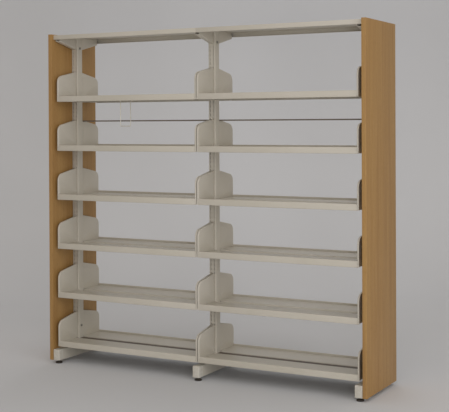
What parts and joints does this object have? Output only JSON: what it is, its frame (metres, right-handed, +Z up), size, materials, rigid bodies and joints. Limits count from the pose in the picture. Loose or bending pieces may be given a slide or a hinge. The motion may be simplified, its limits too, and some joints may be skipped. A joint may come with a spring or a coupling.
{
  "type": "double sided library shelving",
  "caption": "Free-standing double sided library shelving: lift-off cream steel trays hooked on slotted uprights, with wood end panels, a steel canopy and levelling feet",
  "frame": {"origin": "on the floor, under the middle of the row", "axes": "+Z up, +X along the row to the right seen from the front, the front side towards -Y"},
  "size_m": [2.0656, 0.46, 2.015],
  "materials": {
    "cream_steel": "satin cream enamel",
    "oak_laminate": "straight grain oak veneer, satin",
    "pale_plastic": "moulded, fine texture",
    "black_plastic": "moulded, matt",
    "dark_steel": "dark enamel",
    "zinc_steel": "zinc plated",
    "white_wire": "plastic dipped wire"
  },
  "bodies": {
    "frame": {"upright_left": "cream_steel", "leg_left": "cream_steel", "canopy_bracket_left": "cream_steel", "foot_cap_left_front": "pale_plastic", "foot_cap_left_rear": "pale_plastic", "canopy_bolt_left": "zinc_steel", "upright_centre": "cream_steel", "leg_centre": "cream_steel", "canopy_bracket_centre": "cream_steel", "foot_cap_centre_front": "pale_plastic", "foot_cap_centre_rear": "pale_plastic", "canopy_bolt_centre": "zinc_steel", "upright_right": "cream_steel", "leg_right": "cream_steel", "canopy_bracket_right": "cream_steel", "foot_cap_right_front": "pale_plastic", "foot_cap_right_rear": "pale_plastic", "canopy_bolt_right": "zinc_steel", "panel_bolt_left": "zinc_steel", "end_panel_left": "oak_laminate", "base_spreader_left": "dark_steel", "canopy_left": "cream_steel", "panel_bolt_right": "zinc_steel", "end_panel_right": "oak_laminate", "base_spreader_right": "dark_steel", "canopy_right": "cream_steel"},
    "shelf_left_front_1": {"shelf_left_front_1": "cream_steel"},
    "shelf_left_front_2": {"shelf_left_front_2": "cream_steel"},
    "shelf_left_front_3": {"shelf_left_front_3": "cream_steel"},
    "shelf_left_front_4": {"shelf_left_front_4": "cream_steel"},
    "shelf_left_front_5": {"shelf_left_front_5": "cream_steel"},
    "shelf_left_front_6": {"shelf_left_front_6": "cream_steel"},
    "shelf_left_rear_1": {"shelf_left_rear_1": "cream_steel"},
    "shelf_left_rear_2": {"shelf_left_rear_2": "cream_steel"},
    "shelf_left_rear_3": {"shelf_left_rear_3": "cream_steel"},
    "shelf_left_rear_4": {"shelf_left_rear_4": "cream_steel"},
    "shelf_left_rear_5": {"shelf_left_rear_5": "cream_steel", "rod_left": "dark_steel"},
    "shelf_left_rear_6": {"shelf_left_rear_6": "cream_steel"},
    "shelf_right_front_1": {"shelf_right_front_1": "cream_steel"},
    "shelf_right_front_2": {"shelf_right_front_2": "cream_steel"},
    "shelf_right_front_3": {"shelf_right_front_3": "cream_steel"},
    "shelf_right_front_4": {"shelf_right_front_4": "cream_steel"},
    "shelf_right_front_5": {"shelf_right_front_5": "cream_steel"},
    "shelf_right_front_6": {"shelf_right_front_6": "cream_steel"},
    "shelf_right_rear_1": {"shelf_right_rear_1": "cream_steel"},
    "shelf_right_rear_2": {"shelf_right_rear_2": "cream_steel"},
    "shelf_right_rear_3": {"shelf_right_rear_3": "cream_steel"},
    "shelf_right_rear_4": {"shelf_right_rear_4": "cream_steel"},
    "shelf_right_rear_5": {"shelf_right_rear_5": "cream_steel", "rod_right": "dark_steel"},
    "shelf_right_rear_6": {"shelf_right_rear_6": "cream_steel"},
    "glide_left_front": {"glide_left_front": "black_plastic"},
    "glide_left_rear": {"glide_left_rear": "black_plastic"},
    "glide_centre_front": {"glide_centre_front": "black_plastic"},
    "glide_centre_rear": {"glide_centre_rear": "black_plastic"},
    "glide_right_front": {"glide_right_front": "black_plastic"},
    "glide_right_rear": {"glide_right_rear": "black_plastic"},
    "wire_book_support": {"wire_book_support": "white_wire"}
  },
  "joints": [
    {"name": "wire_slide", "type": "slide", "parent": "shelf_left_front_6", "child": "wire_book_support", "axis": [1, 0, 0], "range_m": [-0.42, 0.52]},
    {"name": "level_left_front", "type": "slide", "parent": "frame", "child": "glide_left_front", "axis": [0, 0, 1], "range_m": [-0.015, 0]},
    {"name": "level_left_rear", "type": "slide", "parent": "frame", "child": "glide_left_rear", "axis": [0, 0, 1], "range_m": [-0.015, 0]},
    {"name": "level_centre_front", "type": "slide", "parent": "frame", "child": "glide_centre_front", "axis": [0, 0, 1], "range_m": [-0.015, 0]},
    {"name": "level_centre_rear", "type": "slide", "parent": "frame", "child": "glide_centre_rear", "axis": [0, 0, 1], "range_m": [-0.015, 0]},
    {"name": "level_right_front", "type": "slide", "parent": "frame", "child": "glide_right_front", "axis": [0, 0, 1], "range_m": [-0.015, 0]},
    {"name": "level_right_rear", "type": "slide", "parent": "frame", "child": "glide_right_rear", "axis": [0, 0, 1], "range_m": [-0.015, 0]},
    {"name": "lift_left_front_1", "type": "slide", "parent": "frame", "child": "shelf_left_front_1", "axis": [0, 0, 1], "range_m": [0, 0.008]},
    {"name": "lift_left_front_2", "type": "slide", "parent": "frame", "child": "shelf_left_front_2", "axis": [0, 0, 1], "range_m": [0, 0.008]},
    {"name": "lift_left_front_3", "type": "slide", "parent": "frame", "child": "shelf_left_front_3", "axis": [0, 0, 1], "range_m": [0, 0.008]},
    {"name": "lift_left_front_4", "type": "slide", "parent": "frame", "child": "shelf_left_front_4", "axis": [0, 0, 1], "range_m": [0, 0.008]},
    {"name": "lift_left_front_5", "type": "slide", "parent": "frame", "child": "shelf_left_front_5", "axis": [0, 0, 1], "range_m": [0, 0.008]},
    {"name": "lift_left_front_6", "type": "slide", "parent": "frame", "child": "shelf_left_front_6", "axis": [0, 0, 1], "range_m": [0, 0.008]},
    {"name": "lift_left_rear_1", "type": "slide", "parent": "frame", "child": "shelf_left_rear_1", "axis": [0, 0, 1], "range_m": [0, 0.008]},
    {"name": "lift_left_rear_2", "type": "slide", "parent": "frame", "child": "shelf_left_rear_2", "axis": [0, 0, 1], "range_m": [0, 0.008]},
    {"name": "lift_left_rear_3", "type": "slide", "parent": "frame", "child": "shelf_left_rear_3", "axis": [0, 0, 1], "range_m": [0, 0.008]},
    {"name": "lift_left_rear_4", "type": "slide", "parent": "frame", "child": "shelf_left_rear_4", "axis": [0, 0, 1], "range_m": [0, 0.008]},
    {"name": "lift_left_rear_5", "type": "slide", "parent": "frame", "child": "shelf_left_rear_5", "axis": [0, 0, 1], "range_m": [0, 0.008]},
    {"name": "lift_left_rear_6", "type": "slide", "parent": "frame", "child": "shelf_left_rear_6", "axis": [0, 0, 1], "range_m": [0, 0.008]},
    {"name": "lift_right_front_1", "type": "slide", "parent": "frame", "child": "shelf_right_front_1", "axis": [0, 0, 1], "range_m": [0, 0.008]},
    {"name": "lift_right_front_2", "type": "slide", "parent": "frame", "child": "shelf_right_front_2", "axis": [0, 0, 1], "range_m": [0, 0.008]},
    {"name": "lift_right_front_3", "type": "slide", "parent": "frame", "child": "shelf_right_front_3", "axis": [0, 0, 1], "range_m": [0, 0.008]},
    {"name": "lift_right_front_4", "type": "slide", "parent": "frame", "child": "shelf_right_front_4", "axis": [0, 0, 1], "range_m": [0, 0.008]},
    {"name": "lift_right_front_5", "type": "slide", "parent": "frame", "child": "shelf_right_front_5", "axis": [0, 0, 1], "range_m": [0, 0.008]},
    {"name": "lift_right_front_6", "type": "slide", "parent": "frame", "child": "shelf_right_front_6", "axis": [0, 0, 1], "range_m": [0, 0.008]},
    {"name": "lift_right_rear_1", "type": "slide", "parent": "frame", "child": "shelf_right_rear_1", "axis": [0, 0, 1], "range_m": [0, 0.008]},
    {"name": "lift_right_rear_2", "type": "slide", "parent": "frame", "child": "shelf_right_rear_2", "axis": [0, 0, 1], "range_m": [0, 0.008]},
    {"name": "lift_right_rear_3", "type": "slide", "parent": "frame", "child": "shelf_right_rear_3", "axis": [0, 0, 1], "range_m": [0, 0.008]},
    {"name": "lift_right_rear_4", "type": "slide", "parent": "frame", "child": "shelf_right_rear_4", "axis": [0, 0, 1], "range_m": [0, 0.008]},
    {"name": "lift_right_rear_5", "type": "slide", "parent": "frame", "child": "shelf_right_rear_5", "axis": [0, 0, 1], "range_m": [0, 0.008]},
    {"name": "lift_right_rear_6", "type": "slide", "parent": "frame", "child": "shelf_right_rear_6", "axis": [0, 0, 1], "range_m": [0, 0.008]}
  ]
}
